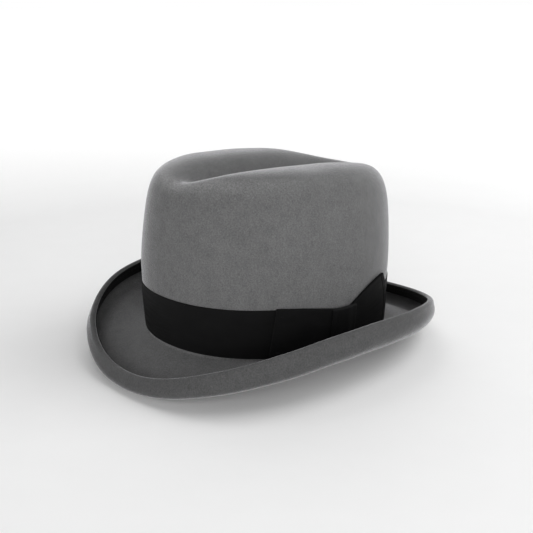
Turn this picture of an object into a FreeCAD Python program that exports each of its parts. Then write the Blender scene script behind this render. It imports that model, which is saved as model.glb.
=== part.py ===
"""Homburg hat: a creased felt crown, a curled and bound brim, ribbon trim, a leather sweatband
and a satin lining.

Millimetres, +Z up.  The front of the hat faces -Y, and the bow is on the wearer's left, at +X.
The origin is under the middle of the outline, on the plane that the brim's two lowest
stretches, in front and behind, rest on.

The felt is one sheet.  Its middle surface depends on theta, the angle round the head (0 at the
wearer's left, -90 degrees in front), and on the way down from the middle of the crown, through
the brim, up the curl and round to the raw edge.  Every other piece is laid on that surface, at
some lift above it (outside or on top) or below it (inside or underneath).
"""
import FreeCAD, Part
import math
import os

# ---- head opening and crown ----
HALF_LENGTH = 101.6          # middle of the felt, at the brim break
HALF_WIDTH = 89.9
OVAL_POWER = 2.12            # 2 is an ellipse, more is squarer
OVAL_EGG = 0.03              # wider behind than in front
OVAL_CENTRE_Y = 3.45         # puts the outline's middle over the origin
FELT = 1.9                   # thickness of the felt
CROWN_HEIGHT = 137.87        # ridges of the crown, above BREAK_HEIGHT
CROWN_POWER = (15.0, 8.2, 12.2)      # front, side, back: how square its shoulder is
CROWN_SHIFT = 8.2            # how far the crown's top lies behind its base
CROWN_BULGE = (0.061, 0.056, 0.02)   # front, side, back: swell at mid height
CROWN_TAPER = (0.021, 0.081, 0.015)  # front, side, back: narrowing at the top
RIDGE_FALL = 4.7             # drop of the ridges this far from their highest point:
RIDGE_RUN = 100.0
RIDGE_PEAK_Y = -57.5
CREASE_DEPTH = (-4.9, 26.8, 1.3)     # front end, middle, back end
CREASE_HALF_WIDTH = (15.9, 17.8, 34.0)
CREASE_POWER = 1.79
BREAK_HEIGHT = 16.07         # where crown and brim meet, above the floor
BREAK_TWIST = -0.2           # the break is this much higher at the sides
BREAK_TILT = -4.17           # and this much higher behind than in the middle
BREAK_RADIUS = 2.6

# ---- brim: front, side, back ----
BRIM_WIDTH = (46.8, 40.4, 39.9)
BRIM_CORNER_WIDTH = (4.6, 4.2)       # this much wider before the side, and behind it
BRIM_SLOPE = (-25.6, 18.1, -22.1)
CURL_RADIUS = (5.0, 12.0, 10.4)
CURL_RISE = (5.0, 5.9, 3.7)
CURL_LEAN = (119.4, 107.4, 98.9)     # past upright, towards the crown
SLOPE_POWER = 2.4
FOLD_RADIUS = 1.6            # the lip is folded inwards and down over itself
FOLD_TURN = 172.0
HEM = (5.5, 7.5, 5.5)        # what runs down inside the curl, to the raw edge

# ---- trim ----
RIBBON = 0.6                 # thickness of grosgrain
GAP = 0.12                   # air between pieces laid on each other
BAND_WIDTH = 38.6
BAND_LOW = 3.0               # lower edge of the band, above the break
BAND_SLIT = (-36.0, 1.0)     # place and half width of the slit between its ends, under the loop
BAND_DIP = (-8.0, 27.0, 5.6)         # where the bow pulls its upper edge down: place, reach, depth
BINDING = 0.45
BINDING_START = 0.7          # share of the fold where the binding's outer leg begins
STITCH_RADIUS = 0.22
STITCH_CLEAR = 0.06          # between a stitch and what it lies on
BINDING_STITCHES = 200
BAND_TACKS = 10              # pairs, from 50 degrees on round the back, right side and front
BAND_TACK_START = 50.0
BAND_TACK_STEP = 26.0
TACK_HALF = 0.008            # half the angle that a tack spans
TACK_INSET = 1.5             # from a ribbon's edge

# ---- bow: (distance round the head from theta = 0, height above the break) ----
LOOP_END = ((-68.3, 4.75), (-64.5, 42.7))   # lower and upper corner of the folded end
LOOP_ROOT = ((-12.0, 6.25), (-14.0, 36.4))
LOOP_EASE = 0.65             # how far its upper edge curves above a straight line
FAN_ROOT = ((-3.0, 6.75), (-3.0, 35.5))
FAN_END = ((51.5, 4.75), (38.5, 54.0))
FAN_EASE = 0.6
FAN_BOW = 5.0                # the fan's free edge curves out by this much
FAN_STAND_OFF = 1.7          # and stands this far off the band
KEEPER = ((-20.0, 4.15), (4.0, 37.4))       # front lower and back upper corner
LOOP_THICKNESS = 2.4
LOOP_PINCH = 0.55            # share of its thickness the loop keeps where it is pinched
LOOP_SWELL = 0.15            # where along the loop it is pinched to that share
FAN_THICKNESS = 1.9
KEEPER_THICKNESS = 0.7
KEEPER_CROWN = 1.2           # the keeper is this much prouder along its middle
LOOP_TACKS = ((-62.5, 8.75), (-60.5, 37.25))
KEEPER_TACKS = (-12.0, -7.0, -2.0)   # just below the keeper's lower edge

# ---- inside ----
REED_RADIUS = 1.0
REED_UP = 1.0                # middle of the reed, above the break
REED_TAPE = 0.35
TAPE_HIGH = 9.0              # upper edges of the tape, above the break
TAPE_SHORT = 1.5
LEATHER = 1.0
LEATHER_LOW = 2.6
LEATHER_STAND_OFF = 1.0      # from the felt's tape, at its lower edge
LEATHER_LEAN = 1.4           # and this much more at its upper edge
LEATHER_SLIT = 0.3           # half the gap between its butted ends
SWEATBAND_HEIGHT = 50.0
SWEATBAND_STITCHES = 150
SWEATBAND_STITCH_UP = 2.2    # the stitched row, above the leather's lower edge
SEAM_PITCH = 3.0             # zigzag over the leather's butted ends
SEAM_HALF = 1.6
SEAM_LOW = 3.6
INSIDE_BOW_UP = 12.0         # middle of the small bow, above the leather's lower edge
INSIDE_BOW_FLARE = 3.0       # its loops and tails are this much taller at their ends
LINING = 0.4
LINING_LOW = 14.0            # lower edge of the lining, above the break
LINING_HIGH = 98.0           # where its side meets its tip
LINING_EASE = 6.0            # it leaves the felt this far above the leather
LINING_TIP_DROP = 7.0        # and stands this far in from the felt at its top
LINING_DOME = 4.0            # the tip's middle rises this much
LINING_STITCHES = 48
LINING_STITCH_UP = 2.0
PIPING_RADIUS = 0.9

# ---- how finely the curved sheets are described ----
AROUND = 72
CROWN_ROWS = 46
STRETCH_ROWS = {"fillet": 5, "flat": 8, "curl": 11, "rise": 4, "fold": 10, "hem": 5}

# ---- lifts from the felt's middle surface: above it outside, below it inside ----
BAND_LIFT = FELT / 2 + GAP
BOW_LIFT = BAND_LIFT + RIBBON + GAP
INNER = -FELT / 2
LEATHER_LIFT = INNER - GAP - REED_TAPE - GAP
REED_LIFT = LEATHER_LIFT - REED_RADIUS


# ---------------------------------------------------------------- the felt's middle surface
def mixed(theta, values, power=2.0):
    """The front, side or back value, blended round the head."""
    front, side, back = values
    share = abs(math.sin(theta)) ** power
    end = front if math.sin(theta) < 0 else back
    return side * (1 - share) + end * share


def oval(theta):
    """The brim break seen from above."""
    reach = abs(math.cos(theta)) ** OVAL_POWER + abs(math.sin(theta)) ** OVAL_POWER
    reach = reach ** (-1 / OVAL_POWER)
    x = HALF_WIDTH * math.cos(theta) * reach * (1 + OVAL_EGG * math.sin(theta))
    y = HALF_LENGTH * math.sin(theta) * reach
    return x, y


def oval_normal(theta):
    step = 1e-4
    x0, y0 = oval(theta - step)
    x1, y1 = oval(theta + step)
    length = math.hypot(x1 - x0, y1 - y0)
    return (y1 - y0) / length, (x0 - x1) / length


def break_height(theta):
    return BREAK_HEIGHT + BREAK_TWIST * math.cos(2 * theta) + BREAK_TILT * math.sin(theta)


def along_crown(y, values):
    """The front, middle or back value, blended along the crown."""
    front, middle, back = values
    share = (y / HALF_LENGTH) ** 2
    end = front if y < 0 else back
    return middle * (1 - share) + end * share


def crown_top(x, y):
    """Height of the creased top of the crown over a point."""
    depth = along_crown(y, CREASE_DEPTH)
    crease = math.exp(-(abs(x) / along_crown(y, CREASE_HALF_WIDTH)) ** CREASE_POWER)
    ridge = CROWN_HEIGHT - RIDGE_FALL * ((y - RIDGE_PEAK_Y) / RIDGE_RUN) ** 2
    return BREAK_HEIGHT + ridge - depth * crease


def crown_ring(theta, spread, rise):
    """Plan position on the crown: spread 0 to 1 from its middle out, rise 0 to 1 from its base up."""
    x, y = oval(theta)
    swell = 1 + mixed(theta, CROWN_BULGE) * math.sin(math.pi * rise) - mixed(theta, CROWN_TAPER) * rise
    return x * spread * swell, y * spread * swell + CROWN_SHIFT * rise


def crown_point(theta, share):
    """Point on the crown, share 0 at the middle of the top and 1 at the break."""
    v = 2 * share - 1
    turn = math.pi / 4 * (1 + v * (0.62 + 0.38 * v * v))
    power = mixed(theta, CROWN_POWER)
    reach = (math.sin(turn) ** power + max(0.0, math.cos(turn)) ** power) ** (-1 / power)
    rise = max(0.0, math.cos(turn)) * reach
    x, y = crown_ring(theta, math.sin(turn) * reach, rise)
    low = break_height(theta)
    return FreeCAD.Vector(x, y + OVAL_CENTRE_Y, low + (crown_top(x, y) - low) * rise)


def wall_point(theta, height):
    """Point on the side of the crown, at a height above the break."""
    low = break_height(theta)
    power = mixed(theta, CROWN_POWER)
    x, y = oval(theta)
    for _ in range(8):
        rise = min(0.999, max(0.0, height / (crown_top(x, y) - low)))
        x, y = crown_ring(theta, (1 - rise ** power) ** (1 / power), rise)
    return FreeCAD.Vector(x, y + OVAL_CENTRE_Y, low + height)


def fillet_reach(theta):
    """How far the round at the break runs up the crown and out along the brim."""
    slope = math.radians(mixed(theta, BRIM_SLOPE, SLOPE_POWER))
    return BREAK_RADIUS * math.tan((math.pi / 2 + slope) / 2)


def brim_section(theta):
    """Distance out and height above the break, stretch by stretch from crown to raw edge."""
    slope = math.radians(mixed(theta, BRIM_SLOPE, SLOPE_POWER))
    lean = math.radians(mixed(theta, CURL_LEAN))
    radius = mixed(theta, CURL_RADIUS, SLOPE_POWER)
    corner = BRIM_CORNER_WIDTH[0 if math.sin(theta) < 0 else 1]
    width = mixed(theta, BRIM_WIDTH) + corner * math.sin(2 * theta) ** 2
    flat = (width - radius * (1 - math.sin(slope))) / math.cos(slope)
    reach = fillet_reach(theta)
    stretches = {}

    def arc(name, start, first, last, bend):
        rows = STRETCH_ROWS[name]
        points = []
        for i in range(1, rows + 1):
            angle = first + (last - first) * i / rows
            out = start[0] + bend * (math.sin(angle) - math.sin(first))
            up = start[1] + bend * (math.cos(first) - math.cos(angle))
            points.append((out, up))
        stretches[name] = points
        return points[-1]

    def line(name, start, angle, length):
        rows = STRETCH_ROWS[name]
        points = []
        for i in range(1, rows + 1):
            run = length * i / rows
            points.append((start[0] + run * math.cos(angle), start[1] + run * math.sin(angle)))
        stretches[name] = points
        return points[-1]

    end = arc("fillet", (0.0, reach), -math.pi / 2, slope, BREAK_RADIUS)
    end = line("flat", end, slope, flat - reach)
    end = arc("curl", end, slope, lean, radius)
    end = line("rise", end, lean, mixed(theta, CURL_RISE, SLOPE_POWER))
    turned = lean + math.radians(FOLD_TURN)
    end = arc("fold", end, lean, turned, FOLD_RADIUS)
    line("hem", end, turned, mixed(theta, HEM))
    return stretches


def brim_point(theta, out, up):
    x, y = oval(theta)
    nx, ny = oval_normal(theta)
    return FreeCAD.Vector(x + nx * out, y + ny * out + OVAL_CENTRE_Y, break_height(theta) + up)


# ---------------------------------------------------------------- sheets and solids
def around(count=AROUND):
    return [2 * math.pi * i / count for i in range(count)]


def grid_normals(rows, ring):
    """Unit normals of a grid, pointing out of the crown or up from the brim."""
    last_row, last_column = len(rows) - 1, len(rows[0]) - 1
    normals = []
    for i, row in enumerate(rows):
        line = []
        for j in range(len(row)):
            down = rows[min(i + 1, last_row)][j] - rows[max(i - 1, 0)][j]
            if ring:
                along = row[(j + 1) % len(row)] - row[j - 1]
            else:
                along = row[min(j + 1, last_column)] - row[max(j - 1, 0)]
            normal = down.cross(along)
            line.append(normal.normalize() if normal.Length > 1e-9 else FreeCAD.Vector(0, 0, 1))
        normals.append(line)
    return normals


def lifted(rows, normals, lift):
    """The grid moved along its normals, by one distance or by one for each row and column."""
    result = []
    for i, row in enumerate(rows):
        line = []
        for j, point in enumerate(row):
            amount = lift(i, j) if callable(lift) else lift
            line.append(point + normals[i][j] * amount)
        result.append(line)
    return result


def clamped_knots(count, degree):
    spans = count - degree
    return [float(i) for i in range(spans + 1)], [degree + 1] + [1] * (spans - 1) + [degree + 1]


def skin(rows, ring):
    """A smooth face shaped by a grid of poles, closed round the columns if ring is true."""
    count = len(rows[0])
    row_degree = min(3, len(rows) - 1)
    row_knots, row_mults = clamped_knots(len(rows), row_degree)
    if ring:
        degree = 3
        knots, mults = [float(i) for i in range(count + 1)], [1] * (count + 1)
    else:
        degree = min(3, count - 1)
        knots, mults = clamped_knots(count, degree)
    surface = Part.BSplineSurface()
    surface.buildFromPolesMultsKnots(rows, row_mults, mults, row_knots, knots, False, ring,
                                     row_degree, degree)
    return surface.toShape()


def closed_solid(faces):
    sewn = Part.makeCompound(faces)
    sewn.sewShape()
    solid = Part.makeSolid(sewn.Shells[0])
    if solid.Volume < 0:
        solid.reverse()
    if not (solid.isValid() and solid.Shells[0].isClosed()):
        raise ValueError("a solid did not close")
    return solid


def ring_solid(runs):
    """A solid ring whose section is a loop of runs; each run is a list of rings of poles."""
    return closed_solid([skin(run, True) for run in runs])


def slab(top, bottom):
    """A thin solid between two grids of the same size."""
    sides = [
        [top[0], bottom[0]],
        [top[-1], bottom[-1]],
        [[row[0] for row in top], [row[0] for row in bottom]],
        [[row[-1] for row in top], [row[-1] for row in bottom]],
    ]
    return closed_solid([skin(top, False), skin(bottom, False)] + [skin(side, False) for side in sides])


def sheet_patch(rows, low, high):
    normals = grid_normals(rows, False)
    return slab(lifted(rows, normals, high), lifted(rows, normals, low))


def wall_rows(high, low, rows, thetas):
    """Grid on the side of the crown, from the height `high` down to `low`."""
    return [[wall_point(theta, height) for theta in thetas] for height in spaced(high, low, rows)]


def spaced(first, last, count):
    return [first + (last - first) * i / (count - 1) for i in range(count)]


def cord_ring(centres, outs, radius, facets=8):
    """A closed round cord along a ring of centres; outs point away from the head."""
    up = FreeCAD.Vector(0, 0, 1)
    rings = []
    for k in range(facets + 1):
        angle = 2 * math.pi * k / facets
        across, rise = radius * math.cos(angle), radius * math.sin(angle)
        rings.append([centre + out * across + up * rise for centre, out in zip(centres, outs)])
    half = facets // 2
    return ring_solid([rings[: half + 1], rings[half:]])


def stitch(start, end, radius=STITCH_RADIUS):
    return Part.makeCylinder(radius, (end - start).Length, start, end - start)


def wall_tack(theta, height, lift):
    """A short stitch lying level on the side of the crown, over whatever reaches out to lift."""
    rows = wall_rows(height + 0.5, height - 0.5, 3, [theta - TACK_HALF, theta + TACK_HALF])
    reach = lift + STITCH_RADIUS + STITCH_CLEAR
    return stitch(*lifted(rows, grid_normals(rows, False), reach)[1])


def save(name, solids):
    shape = solids[0] if len(solids) == 1 else Part.makeCompound(solids)
    shape.exportStep("parts/" + name + ".step")


# ---------------------------------------------------------------- felt and brim edge
def felt_rows():
    """The felt's middle surface as rings, from the middle of the crown to the raw edge."""
    columns = []
    for theta in around():
        column = [crown_point(theta, i / CROWN_ROWS) for i in range(CROWN_ROWS)]
        column.append(brim_point(theta, 0.0, fillet_reach(theta)))
        for points in brim_section(theta).values():
            column.extend(brim_point(theta, out, up) for out, up in points)
        columns.append(column)
    return [list(row) for row in zip(*columns)]


def felt_body():
    rows = felt_rows()
    normals = grid_normals(rows, True)
    normals[0] = [FreeCAD.Vector(0, 0, 1)] * AROUND
    top = lifted(rows, normals, FELT / 2)
    bottom = lifted(rows, normals, -FELT / 2)
    return [closed_solid([skin(top, True), skin(bottom, True), skin([top[-1], bottom[-1]], True)])]


def hem_rows(fold_share):
    """Rings from a share of the lip's fold, down the hem to the felt's raw edge."""
    skipped = min(round(fold_share * STRETCH_ROWS["fold"]), STRETCH_ROWS["fold"] - 1)
    columns = []
    for theta in around():
        stretches = brim_section(theta)
        points = stretches["fold"][skipped:] + stretches["hem"]
        columns.append([brim_point(theta, out, up) for out, up in points])
    return [list(row) for row in zip(*columns)]


def past_edge(rows, distance):
    """The same rings, with one more, a distance beyond the last."""
    extra = []
    for point, before in zip(rows[-1], rows[-2]):
        extra.append(point + (point - before).normalize() * distance)
    return rows + [extra]


def brim_binding():
    """Grosgrain folded over the raw edge: it faces the crown, and turns up behind the hem."""
    rows, short = hem_rows(BINDING_START), hem_rows(1.0)
    near, far = FELT / 2 + GAP, FELT / 2 + GAP + BINDING

    def leg(path, reach, lift):
        path = past_edge(path, reach)
        return lifted(path, grid_normals(path, True), lift)

    outside = leg(rows, GAP + BINDING, -far) + leg(short, GAP + BINDING, far)[::-1]
    inside = leg(short, GAP, near) + leg(rows, GAP, -near)[::-1]
    return [ring_solid([outside, [outside[-1], inside[0]], inside, [inside[-1], outside[0]]])]


def brim_binding_stitches():
    """A row of short stitches through the binding, on the side facing the crown."""
    half = 0.3 * 2 * math.pi / BINDING_STITCHES
    lift = FELT / 2 + GAP + BINDING + STITCH_RADIUS + STITCH_CLEAR / 2
    solids = []
    for theta in around(BINDING_STITCHES):
        ends = []
        for angle in (theta - half, theta + half):
            before, after = brim_section(angle)["hem"][:2]
            along = FreeCAD.Vector(after[0] - before[0], after[1] - before[1], 0).normalize()
            ends.append(brim_point(angle, before[0] + along.y * lift, before[1] - along.x * lift))
        solids.append(stitch(*ends))
    return solids


# ---------------------------------------------------------------- ribbon round the crown
def angle_round(distance):
    """Theta at a distance round the head from theta = 0, at the middle of the band."""
    height = BAND_LOW + BAND_WIDTH / 2
    step = math.radians(0.25) * (1 if distance > 0 else -1)
    theta, length, last = 0.0, 0.0, wall_point(0.0, height)
    while length < abs(distance):
        theta += step
        point = wall_point(theta, height)
        length += (point - last).Length
        last = point
    return theta


def band_top(distance):
    """Height of the band's upper edge, at a distance round the head."""
    place, reach, depth = BAND_DIP
    return BAND_LOW + BAND_WIDTH - depth * math.exp(-(abs(distance - place) / reach) ** 3)


def hat_band():
    """A ribbon round the crown, its ends meeting under the bow, with its upper edge eased down there."""
    place, half = BAND_SLIT
    first, last = angle_round(place + half), angle_round(place - half) + 2 * math.pi
    rows = [[] for _ in range(7)]
    for theta in spaced(first, last, 2 * AROUND + 1):
        turned = theta if theta < math.pi else theta - 2 * math.pi
        top = band_top(turned * HALF_WIDTH)
        for row, height in zip(rows, spaced(top, BAND_LOW, 7)):
            row.append(wall_point(theta, height))
    return [sheet_patch(rows, BAND_LIFT, BAND_LIFT + RIBBON)]


def hat_band_stitches():
    """Tacks that hold the band's two edges to the felt."""
    solids = []
    for k in range(BAND_TACKS):
        theta = math.radians(BAND_TACK_START + BAND_TACK_STEP * k)
        for height in (BAND_LOW + TACK_INSET, BAND_LOW + BAND_WIDTH - TACK_INSET):
            solids.append(wall_tack(theta, height, BAND_LIFT + RIBBON))
    return solids


def bow_patch(root, end, low, high, ease=0.0, belly=0.0, columns=9, rows=7):
    """A piece of the bow between two edges; low and high give the lifts at each share along it.

    The upper edge rises above a straight line by ease, and the end edge bows out by belly.
    """
    grid = []
    for up in spaced(1.0, 0.0, rows):
        row = []
        for along in spaced(0.0, 1.0, columns):
            first = root[0][0] + (root[1][0] - root[0][0]) * up
            last = end[0][0] + (end[1][0] - end[0][0]) * up + belly * 4 * up * (1 - up)
            bottom = root[0][1] + (end[0][1] - root[0][1]) * along
            eased = along + ease * along * (1 - along)
            top = root[1][1] + (end[1][1] - root[1][1]) * eased
            distance = first + (last - first) * along
            row.append(wall_point(angle_round(distance), bottom + (top - bottom) * up))
        if last < first:
            row.reverse()
        grid.append(row)
    normals = grid_normals(grid, False)

    def share(j):
        along = j / (columns - 1)
        return 1 - along if end[0][0] < root[0][0] else along

    outer = lifted(grid, normals, lambda i, j: high(share(j)))
    inner = lifted(grid, normals, lambda i, j: low(share(j)))
    return slab(outer, inner)


def bow_front_loop():
    """A flat loop, pinched under the keeper and rounded over at its folded end."""
    def high(along):
        swell = math.sin(math.pi * min(1.0, LOOP_SWELL + along))
        return BOW_LIFT + LOOP_THICKNESS * (LOOP_PINCH + (1 - LOOP_PINCH) * swell)

    return [bow_patch(LOOP_ROOT, LOOP_END, lambda along: BOW_LIFT, high, LOOP_EASE)]


def bow_back_fan():
    """The other side of the bow, opened out into a fan that stands off the band."""
    def low(along):
        return BOW_LIFT + FAN_STAND_OFF * along ** 2

    def high(along):
        return low(along) + FAN_THICKNESS

    return [bow_patch(FAN_ROOT, FAN_END, low, high, FAN_EASE, FAN_BOW)]


def bow_keeper():
    """The wrap over the middle of the bow."""
    (first, low), (last, high) = KEEPER
    base = BOW_LIFT + LOOP_THICKNESS + GAP

    def crowned(along):
        return base + KEEPER_THICKNESS + KEEPER_CROWN * math.sin(math.pi * along)

    def hollow(along):
        return crowned(along) - KEEPER_THICKNESS

    return [bow_patch(((first, low), (first, high)), ((last, low), (last, high)), hollow, crowned)]


def bow_stitches():
    """Tacks at the loop's folded end and below the keeper."""
    places = list(LOOP_TACKS) + [(distance, KEEPER[0][1] - TACK_INSET / 2) for distance in KEEPER_TACKS]
    base = BOW_LIFT + LOOP_THICKNESS
    return [wall_tack(angle_round(distance), height, base) for distance, height in places]


# ---------------------------------------------------------------- inside
def inside_rings(lifts_and_heights):
    """Rings inside the crown, each at its own lift and height above the break."""
    rings = []
    for lift, height in lifts_and_heights:
        ring = []
        for theta in around():
            point = wall_point(theta, max(height, 0.0))
            nx, ny = oval_normal(theta)
            low = min(height, 0.0)
            ring.append(FreeCAD.Vector(point.x + nx * lift, point.y + ny * lift, point.z + low))
        rings.append(ring)
    return rings


def sweatband_reed():
    """The cord that stiffens the lower edge of the sweatband."""
    centres = inside_rings([(REED_LIFT, REED_UP)])[0]
    outs = [FreeCAD.Vector(*oval_normal(theta), 0) for theta in around()]
    return [cord_ring(centres, outs, REED_RADIUS)]


def reed_tape():
    """Tape folded under the reed, with its long side up between the felt and the leather."""
    clear = REED_RADIUS + GAP
    thick = clear + REED_TAPE
    angles = [math.pi * k / 6 for k in range(7)]

    def under(reach):
        return [(REED_LIFT + reach * math.cos(a), REED_UP - reach * math.sin(a)) for a in angles]

    outer = [(REED_LIFT + thick, TAPE_HIGH), (REED_LIFT + thick, TAPE_HIGH / 2)] + under(thick)
    outer.append((REED_LIFT - thick, TAPE_SHORT))
    inner = [(REED_LIFT - clear, TAPE_SHORT)] + under(clear)[::-1]
    inner += [(REED_LIFT + clear, TAPE_HIGH / 2), (REED_LIFT + clear, TAPE_HIGH)]
    outside, inside = inside_rings(outer), inside_rings(inner)
    return [ring_solid([outside, [outside[-1], inside[0]], inside, [inside[-1], outside[0]]])]


def sweatband_lift(height):
    """The leather leans away from the lining towards its upper edge."""
    share = (height - LEATHER_LOW) / SWEATBAND_HEIGHT
    return LEATHER_LIFT - LEATHER_STAND_OFF - LEATHER_LEAN * share


def inside_patch(profile, thetas, thickness):
    """A thin open sheet inside the crown; profile is a list of (lift, height), high to low."""
    grids = []
    for extra in (0.0, -thickness):
        grid = []
        for lift, height in profile:
            row = []
            for theta in thetas:
                point = wall_point(theta, height)
                nx, ny = oval_normal(theta)
                reach = lift + extra
                row.append(FreeCAD.Vector(point.x + nx * reach, point.y + ny * reach, point.z))
            grid.append(row)
        grids.append(grid)
    return slab(*grids)


def sweatband():
    """A strip of leather round the inside, its ends butted at the back."""
    slit = LEATHER_SLIT / HALF_WIDTH
    thetas = spaced(math.pi / 2 + slit, math.pi / 2 + 2 * math.pi - slit, AROUND + 1)
    heights = spaced(LEATHER_LOW + SWEATBAND_HEIGHT, LEATHER_LOW, 5)
    return [inside_patch([(sweatband_lift(h), h) for h in heights], thetas, LEATHER)]


def inside_stitch(theta, half_angle, heights, lift):
    ends = []
    for angle, height in zip((theta - half_angle, theta + half_angle), heights):
        point = wall_point(angle, height)
        nx, ny = oval_normal(angle)
        ends.append(FreeCAD.Vector(point.x + nx * lift, point.y + ny * lift, point.z))
    return stitch(*ends)


def sweatband_stitches():
    """The row that joins the leather to the reed tape, just above the reed."""
    height = LEATHER_LOW + SWEATBAND_STITCH_UP
    lift = sweatband_lift(height) - LEATHER - STITCH_RADIUS - STITCH_CLEAR
    half = 0.3 * 2 * math.pi / SWEATBAND_STITCHES
    thetas = [theta + half for theta in around(SWEATBAND_STITCHES)]
    return [inside_stitch(theta, half, (height, height), lift) for theta in thetas]


def sweatband_seam_stitches():
    """Zigzag over the butted ends of the leather at the back."""
    solids = []
    for i in range(int((SWEATBAND_HEIGHT - SEAM_LOW) / SEAM_PITCH)):
        height = LEATHER_LOW + SEAM_LOW + SEAM_PITCH * i
        lift = sweatband_lift(height) - LEATHER - STITCH_RADIUS - 2 * STITCH_CLEAR
        heights = (height, height + 0.6 * SEAM_PITCH)
        solids.append(inside_stitch(math.pi / 2, SEAM_HALF / HALF_WIDTH, heights, lift))
    return solids


def sweatband_bow():
    """A small flat ribbon bow at the back seam: knot, two loops and two tails."""
    base_height = LEATHER_LOW + INSIDE_BOW_UP
    lift = sweatband_lift(base_height) - LEATHER - 2 * STITCH_RADIUS - 5 * STITCH_CLEAR
    solids = []

    def piece(first, last, low, high, near, thick):
        """A curved tab between two distances round the head, taller at its far end."""
        thetas = [math.pi / 2 + d / HALF_WIDTH for d in spaced(first, last, 5)]
        grids = []
        for extra in (0.0, -thick):
            grid = []
            for up in (1.0, 0.5, 0.0):
                row = []
                for j, theta in enumerate(thetas):
                    flare = j / 4 if near == "low end" else 1 - j / 4
                    height = base_height + low + (high - low) * up
                    height += (up - 0.5) * INSIDE_BOW_FLARE * flare
                    point = wall_point(theta, height)
                    nx, ny = oval_normal(theta)
                    reach = lift + extra
                    row.append(FreeCAD.Vector(point.x + nx * reach, point.y + ny * reach, point.z))
                grid.append(row)
            grids.append(grid)
        solids.append(slab(*grids))

    piece(2.0, 13.0, -2.5, 2.5, "low end", 1.8)
    piece(-13.0, -2.0, -2.5, 2.5, "high end", 1.8)
    piece(-1.7, 1.7, -2.8, 2.8, "low end", 2.4)
    piece(2.2, 8.5, -9.5, -4.6, "low end", 0.5)
    piece(-8.5, -2.2, -9.5, -4.6, "high end", 0.5)
    return solids


def lining_profile(count=9):
    """(lift, height) of the lining's side, from its top down."""
    profile = []
    leaves = SWEATBAND_HEIGHT + LINING_EASE
    for height in spaced(LINING_HIGH, LINING_LOW, count):
        share = max(0.0, (height - leaves) / (LINING_HIGH - leaves))
        profile.append((INNER - GAP - LINING_TIP_DROP * share ** 1.5, height))
    return profile


def lining_side():
    profile = lining_profile()
    outer = inside_rings(profile)
    inner = inside_rings([(lift - LINING, height) for lift, height in profile])
    return [ring_solid([outer, [outer[-1], inner[-1]], inner[::-1], [inner[0], outer[0]]])]


def lining_tip():
    """The oval panel across the top of the lining, a little domed."""
    lift = INNER - GAP - LINING_TIP_DROP - 2 * PIPING_RADIUS
    rim = inside_rings([(lift, LINING_HIGH)])[0]
    middle_y = OVAL_CENTRE_Y + CROWN_SHIFT * LINING_HIGH / CROWN_HEIGHT
    middle = FreeCAD.Vector(0, middle_y, BREAK_HEIGHT + LINING_HIGH + LINING_DOME)
    top = []
    for share in (0.0, 0.1, 0.25, 0.4, 0.55, 0.7, 0.85, 1.0):
        ring = []
        for point in rim:
            flat = middle + (point - middle) * share
            dome = (middle.z - point.z) * (1 - share ** 2)
            ring.append(FreeCAD.Vector(flat.x, flat.y, point.z + dome))
        top.append(ring)
    top[0] = [FreeCAD.Vector(middle)] * AROUND
    down = FreeCAD.Vector(0, 0, -LINING)
    bottom = [[point + down for point in ring] for ring in top]
    return [closed_solid([skin(top, True), skin(bottom, True), skin([top[-1], bottom[-1]], True)])]


def lining_piping():
    """The corded seam between the lining's side and its tip."""
    lift = INNER - GAP - LINING_TIP_DROP - PIPING_RADIUS - LINING / 2
    centres = inside_rings([(lift, LINING_HIGH + PIPING_RADIUS + GAP)])[0]
    outs = [FreeCAD.Vector(*oval_normal(theta), 0) for theta in around()]
    return [cord_ring(centres, outs, PIPING_RADIUS - GAP)]


def lining_stitches():
    """Basting stitches that hold the lining's lower edge to the felt, behind the leather."""
    height = LINING_LOW + LINING_STITCH_UP
    lift = INNER - GAP - LINING - STITCH_RADIUS - STITCH_CLEAR
    half = 0.2 * 2 * math.pi / LINING_STITCHES
    return [inside_stitch(theta, half, (height, height), lift) for theta in around(LINING_STITCHES)]


BUILDERS = [
    felt_body, brim_binding, brim_binding_stitches,
    hat_band, hat_band_stitches, bow_front_loop, bow_back_fan, bow_keeper, bow_stitches,
    sweatband, sweatband_reed, reed_tape, sweatband_stitches, sweatband_seam_stitches, sweatband_bow,
    lining_side, lining_tip, lining_piping, lining_stitches,
]


os.makedirs("parts", exist_ok=True)
for builder in BUILDERS:
    save(builder.__name__, builder())
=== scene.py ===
"""Looks of the homburg hat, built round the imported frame.

Metres, in the frame of the CAD model: the hat faces -Y and its bow is at +X, on the wearer's
left.  The felt is one sheet.  A formula gives it from theta, the angle round the head (0 at +X),
and the way down from the middle of the crown to the raw edge of the brim, and every other piece
is laid on it at some lift above it (outside, on top) or below it (inside, underneath).
"""

import math

import bmesh
import bpy
import numpy as np
from mathutils import Matrix, Vector


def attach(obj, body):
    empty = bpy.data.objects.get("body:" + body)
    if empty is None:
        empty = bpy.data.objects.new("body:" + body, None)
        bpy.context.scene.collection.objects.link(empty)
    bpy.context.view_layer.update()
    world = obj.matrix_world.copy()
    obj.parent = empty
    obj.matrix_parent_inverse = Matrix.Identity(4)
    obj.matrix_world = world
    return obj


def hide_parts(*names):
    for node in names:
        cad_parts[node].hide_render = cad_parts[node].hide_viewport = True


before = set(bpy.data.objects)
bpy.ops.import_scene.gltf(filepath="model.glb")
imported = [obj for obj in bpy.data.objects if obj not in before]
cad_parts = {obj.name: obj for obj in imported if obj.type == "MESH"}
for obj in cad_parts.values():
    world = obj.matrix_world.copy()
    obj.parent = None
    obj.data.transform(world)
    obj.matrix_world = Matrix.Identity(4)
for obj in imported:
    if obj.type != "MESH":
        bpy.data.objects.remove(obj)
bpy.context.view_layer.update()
MM = 0.001


def mm(*lengths):
    return tuple(length * MM for length in lengths)


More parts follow.
